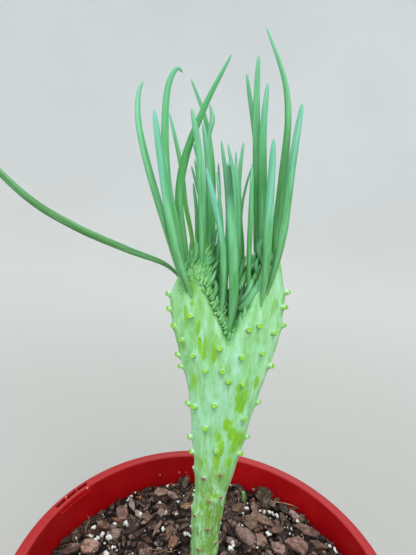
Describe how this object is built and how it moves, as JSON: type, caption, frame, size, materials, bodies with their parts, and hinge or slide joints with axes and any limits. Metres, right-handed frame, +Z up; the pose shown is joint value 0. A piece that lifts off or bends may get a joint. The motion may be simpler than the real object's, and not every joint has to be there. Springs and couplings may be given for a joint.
{
  "type": "potted crested senecio succulent",
  "caption": "Crested blue senecio with a flat fan stem, leaf scars and upright pencil leaves, growing in bark mix in a round plastic pot.",
  "frame": {"origin": "centre of the pot's flat underside", "axes": "+Z up along the pot's axis; -Y is the front, which faces the viewer in the picture; +X is to the viewer's right"},
  "size_m": [0.2045, 0.2, 0.4105],
  "materials": {
    "pot_plastic": "moulded red plastic, satin, slightly dusty",
    "bark_mix": "rough damp bark flakes",
    "perlite": "matt white grains",
    "stem_skin": "pale green skin with a whitish bloom",
    "leaf_skin": "blue-green skin with a fine bloom"
  },
  "bodies": {
    "root": {"pot": "pot_plastic", "potting_mix": "bark_mix", "stem": "stem_skin", "leaf_left_1": "leaf_skin", "leaf_left_2": "leaf_skin", "leaf_left_3": "leaf_skin", "leaf_left_4": "leaf_skin", "leaf_left_5": "leaf_skin", "leaf_left_6": "leaf_skin", "leaf_inner_left_1": "leaf_skin", "leaf_inner_left_2": "leaf_skin", "leaf_inner_left_3": "leaf_skin", "leaf_inner_left_4": "leaf_skin", "leaf_inner_left_5": "leaf_skin", "leaf_inner_left_6": "leaf_skin", "leaf_inner_left_7": "leaf_skin", "leaf_inner_left_8": "leaf_skin", "leaf_middle_1": "leaf_skin", "leaf_middle_2": "leaf_skin", "leaf_middle_3": "leaf_skin", "leaf_middle_4": "leaf_skin", "leaf_middle_5": "leaf_skin", "leaf_middle_6": "leaf_skin", "leaf_middle_7": "leaf_skin", "leaf_middle_8": "leaf_skin", "leaf_middle_9": "leaf_skin", "leaf_right_1": "leaf_skin", "leaf_right_2": "leaf_skin", "leaf_right_3": "leaf_skin", "leaf_right_4": "leaf_skin", "leaf_right_5": "leaf_skin", "leaf_right_6": "leaf_skin", "leaf_right_7": "leaf_skin"}
  },
  "joints": []
}
